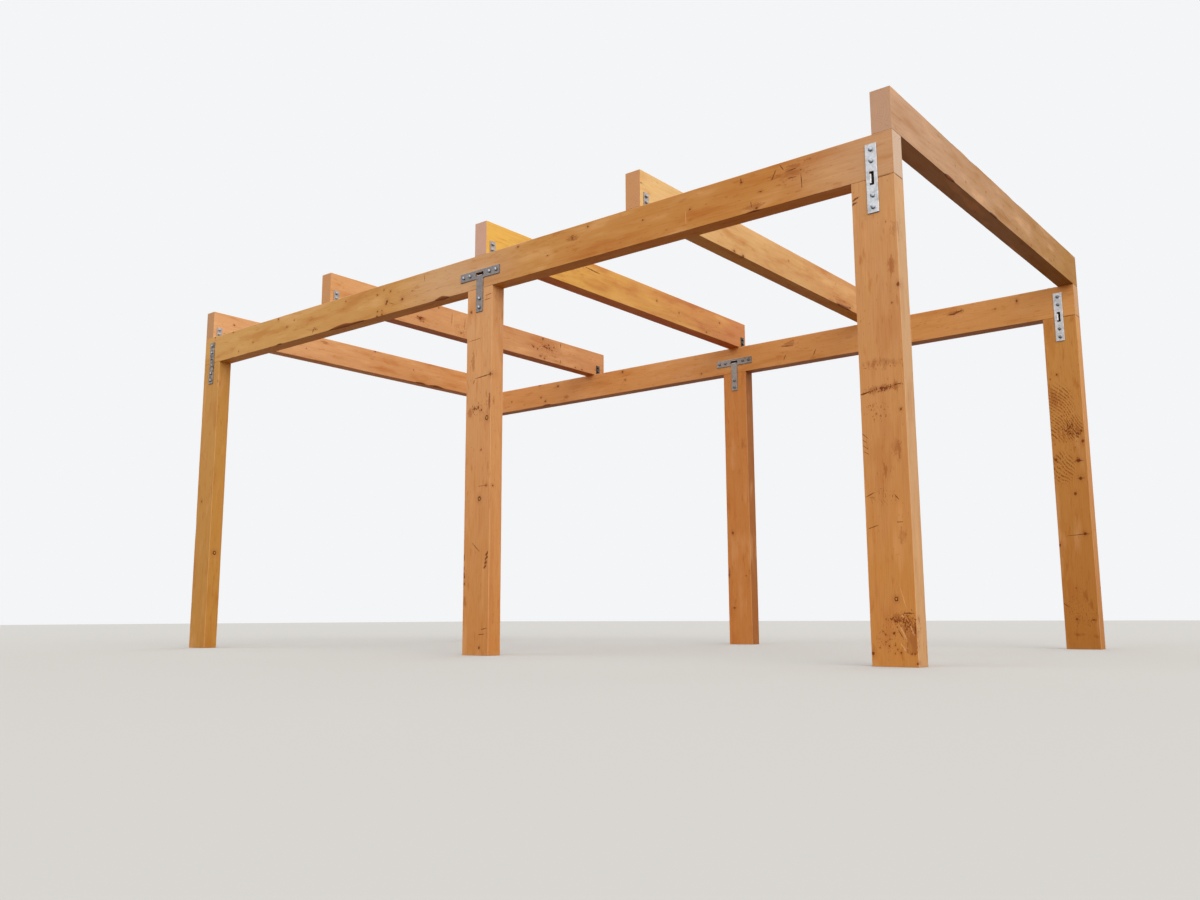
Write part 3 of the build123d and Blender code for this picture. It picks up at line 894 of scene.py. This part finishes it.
def coach_screws(plate, rows, sizes, material):
    """A plate's coach screws, as one mesh of hexagon heads on round shanks, in rows that face one way.

    A profile of radii and heights is carried round each axis. On the head the radius is that of a hexagon,
    half the width across flats over the cosine of the angle from the nearest flat, and the top is a cone
    that cuts only the corners. Each head is turned by a random angle. The attribute wear holds painted
    shade: the profile's own weight, times the first shaded share plus the second times the cosine of the
    angle from the shaded side, which is down and to the left.
    """
    flats, height, shank = sizes
    angles = np.linspace(0, 2 * math.pi, HEAD_STEPS, endpoint=False)
    from_flat = (angles + math.pi / 6) % (math.pi / 3) - math.pi / 6
    hexagon = flats / 2 / np.cos(from_flat)
    crown = height - (hexagon - flats / 2) * math.tan(math.radians(CONE_DEGREES))
    even = np.ones(HEAD_STEPS)
    # Radius, height and weight of the painted shade
    profile = [
        (0 * even, SHANK_END * even, 0),
        (shank * even, SHANK_END * even, 0),
        (shank * even, 0 * even, 0),
        (hexagon, 0 * even, 1.0),
        (hexagon, crown - HEAD_EDGE, 1.0),
        (hexagon - HEAD_EDGE, crown, 1.0),
        (flats * HEAD_TOP * even, height * even, 0.8),
        (0 * even, (height + HEAD_EDGE) * even, 0.8),
    ]
    radii, heights, weights = (np.array(column) for column in zip(*profile))
    steady, swing = SHADE_SHARES
    meshes, values = [], []
    for places, outward in rows:
        outward = Vector(outward)
        side = Vector((0, 0, 1)) if abs(outward.z) < 0.5 else Vector((1, 0, 0))
        across = outward.cross(side)
        basis = np.array([side, across, outward])
        round_turn = angles[None, None, :] + chance.uniform(0, math.pi / 3, len(places))[:, None, None]
        up = heights * np.ones_like(round_turn)
        local = np.stack([radii * np.cos(round_turn), radii * np.sin(round_turn), up], axis=-1)
        meshes.append(local @ basis * MM + np.array(places)[:, None, None, :])
        # Painted shade, strongest on the side down and to the left
        grime_and_painted_shade = np.cos(round_turn) * (side @ SHADED_SIDE) + np.sin(round_turn) * (across @ SHADED_SIDE)
        values.append(np.clip(steady + swing * grime_and_painted_shade * (radii > 0), 0, 1) * weights[None, :, None])
    points = np.concatenate(meshes)
    index = np.arange(points[..., 0].size).reshape(points.shape[:3])
    onward = np.roll(index, -1, axis=2)
    quads = np.stack([index[:, :-1], onward[:, :-1], onward[:, 1:], index[:, 1:]], axis=-1).reshape(-1, 4)
    values = np.concatenate(values).astype(np.float32).ravel()
    return new_piece(f"{plate}_screws", points, quads.tolist(), material, values)


# Building the object

for number, node in enumerate(TIMBERS):
    row = next((row for row in ROWS if node.startswith(row)), None)
    timber_skin(node, oiled_sawn_softwood(node, number), row_pockets(row) if row else [])

strap_steels = {
    "front_right_strap": galvanised_steel("bright_galvanised_strap_steel", "#bfc0c2", "#adafb1", 9),
    "rear_right_strap": galvanised_steel("dull_galvanised_strap_steel", "#c2c1c2", "#b0b0b0", 9),
}
# The left straps are drawn dark, a painted dark reflection
dark_strap_steel = galvanised_steel("galvanised_strap_steel_painted_dark_reflection", "#8d8580", "#544a42", 14)
tee_steels = {
    "front_tee": galvanised_steel("weathered_galvanised_tee_steel", "#7d7674", "#6d6664", 9),
    "rear_tee": galvanised_steel("dull_galvanised_tee_steel", "#90877f", "#7e756e", 9),
}
bracket_steel = galvanised_steel("hot_dip_galvanised_bracket_steel", "#bdb2ac", "#a59b95", 7)
# The rear brackets and their screws are drawn dark, a painted dark reflection
dark_bracket_steel = galvanised_steel("galvanised_bracket_steel_painted_dark_reflection", "#5a524c", "#463f3a", 7)
screw_steel = plated_screws("zinc_plated_coach_screws", "#bcbfc5", "#8e9197", "#2f3034")
dull_screw_steel = plated_screws("zinc_plated_coach_screws_painted_shade", "#85868a", "#5c5d61", "#26262a")
pale_screw_steel = plated_screws("pale_zinc_plated_coach_screws", "#c6c4c6", "#a5a2a2", "#75716f")
dark_screw_steel = plated_screws("coach_screws_painted_dark_reflection", "#7d756d", "#534b44", "#2f2c2a")
# The rear row's screws are drawn darker than the front row's, as painted shade
row_screws = {"front": screw_steel, "rear": dull_screw_steel}
steps = [step * MM for step in (END_DISTANCE, END_DISTANCE + SCREW_PITCH)]

for row in ROWS:
    for side in ("left", "right"):
        plate = f"{row}_{side}_strap"
        low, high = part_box(plate)
        middle = (low.x + high.x) / 2
        heights = [low.z + step for step in steps] + [high.z - step for step in steps]
        places = [(middle, low.y, z) for z in heights]
        coach_screws(plate, [(places, (0, -1, 0))], PLATE_SCREW, row_screws[row])
        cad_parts[plate].data.materials[0] = strap_steels.get(plate, dark_strap_steel)
    plate = f"{row}_tee"
    low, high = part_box(plate)
    middle, arm = (low.x + high.x) / 2, high.z - PLATE_WIDTH / 2 * MM
    places = [(x, low.y, arm) for step in steps for x in (low.x + step, high.x - step)]
    places += [(middle, low.y, low.z + step) for step in steps]
    coach_screws(plate, [(places, (0, -1, 0))], PLATE_SCREW, row_screws[row])
    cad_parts[plate].data.materials[0] = tee_steels[plate]

for name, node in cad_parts.items():
    if not name.endswith("_bracket"):
        continue
    steel, screw = bracket_steel, pale_screw_steel
    # Painted dark reflection on the rear brackets and their screws
    if "_rear_" in name:
        steel, screw = dark_bracket_steel, dark_screw_steel
    node.data.materials[0] = steel
    low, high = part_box(name)
    side = 1 if "_right_bracket" in name else -1
    heel = low.x if side > 0 else high.x
    middle = (low.y + high.y) / 2
    leg = BRACKET_THICKNESS * MM
    holes = [(BRACKET_FIRST_HOLE + n * BRACKET_HOLE_PITCH) * MM for n in range(2)]
    upright = [(heel + side * leg, middle, low.z + hole) for hole in holes]
    level = [(heel + side * hole, middle, low.z + leg) for hole in holes]
    coach_screws(name, [(upright, (side, 0, 0)), (level, (0, 0, 1))], BRACKET_SCREW, screw)


# Floor, background, light and camera

FLOOR_REACH = 40
SUN_DEGREES = 70
CAMERA_PLACE = (4.1862, -5.2586, 0.1915)
CAMERA_DEGREES = {"yaw": 38.94, "pitch": 9.08, "roll": -0.23}
CAMERA_LENS = 31.465
SENSOR_WIDTH = 36


def seen_rays(tree):
    """One on rays of the camera and of reflections, and nought on the rest."""
    path = add(tree, "LightPath", ())
    rays = (path.outputs["Is Camera Ray"], path.outputs["Is Glossy Ray"])
    return add(tree, "Math", rays, operation="MAXIMUM")


def pale_floor():
    """A plain floor that the camera and reflections see pale, and that throws back little light."""
    material, tree = new_material("plain_floor")
    tints = linear("#81603c"), linear("#c2c0bc")
    colour = add(tree, "Mix", (seen_rays(tree), *tints), data_type="RGBA")
    shader = add(tree, "BsdfDiffuse", {"Color": colour})
    add(tree, "OutputMaterial", {"Surface": shader})
    corners = [(FLOOR_REACH * x, FLOOR_REACH * y, 0) for x, y in ((-1, -1), (1, -1), (1, 1), (-1, 1))]
    mesh = bpy.data.meshes.new("floor")
    mesh.from_pydata(corners, [], [(0, 1, 2, 3)])
    mesh.materials.append(material)
    floor = bpy.data.objects.new("floor", mesh)
    bpy.context.scene.collection.objects.link(floor)


def pale_world(strength):
    """A white surround for the camera and reflections, and a soft even light on the object."""
    world = bpy.data.worlds.new("studio")
    world.use_nodes = True
    tree = world.node_tree
    tree.nodes.clear()
    level = add(tree, "MapRange", (seen_rays(tree), 0.0, 1.0, strength, 1.0))
    light = add(tree, "Background", {"Color": linear("#f4f5f7"), "Strength": level})
    add(tree, "OutputWorld", {"Surface": light})
    bpy.context.scene.world = world


def soft_sun(name, azimuth, elevation, strength, colour):
    """A wide, even light from an azimuth, from the front to the right, and an elevation in degrees."""
    sun = bpy.data.lights.new(name, "SUN")
    sun.angle = math.radians(SUN_DEGREES)
    sun.energy = strength
    sun.color = linear(colour)[:3]
    sun_object = bpy.data.objects.new(name, sun)
    around, up = math.radians(azimuth), math.radians(elevation)
    source = Vector((math.sin(around) * math.cos(up), -math.cos(around) * math.cos(up), math.sin(up)))
    sun_object.rotation_euler = source.to_track_quat("Z", "Y").to_euler()
    bpy.context.scene.collection.objects.link(sun_object)


def photo_camera():
    """The camera, low at the front right, turned to the left and a little up."""
    yaw, pitch, roll = (math.radians(CAMERA_DEGREES[name]) for name in ("yaw", "pitch", "roll"))
    camera = bpy.data.objects.new("camera", bpy.data.cameras.new("camera"))
    camera.data.lens = CAMERA_LENS
    camera.data.sensor_width = SENSOR_WIDTH
    camera.data.sensor_fit = "HORIZONTAL"
    aim = Matrix.Rotation(yaw, 4, "Z") @ Matrix.Rotation(math.pi / 2 + pitch, 4, "X")
    aim = aim @ Matrix.Rotation(roll, 4, "Z")
    camera.matrix_world = Matrix.Translation(CAMERA_PLACE) @ aim
    bpy.context.scene.collection.objects.link(camera)
    bpy.context.scene.camera = camera


pale_floor()
pale_world(strength=0.82)
soft_sun("key", azimuth=65, elevation=28, strength=2.27, colour="#fffaf2")
soft_sun("fill", azimuth=-30, elevation=28, strength=0.7, colour="#f6f9ff")
soft_sun("back", azimuth=190, elevation=30, strength=0.74, colour="#ffffff")
photo_camera()
bpy.context.scene.view_settings.view_transform = "Standard"
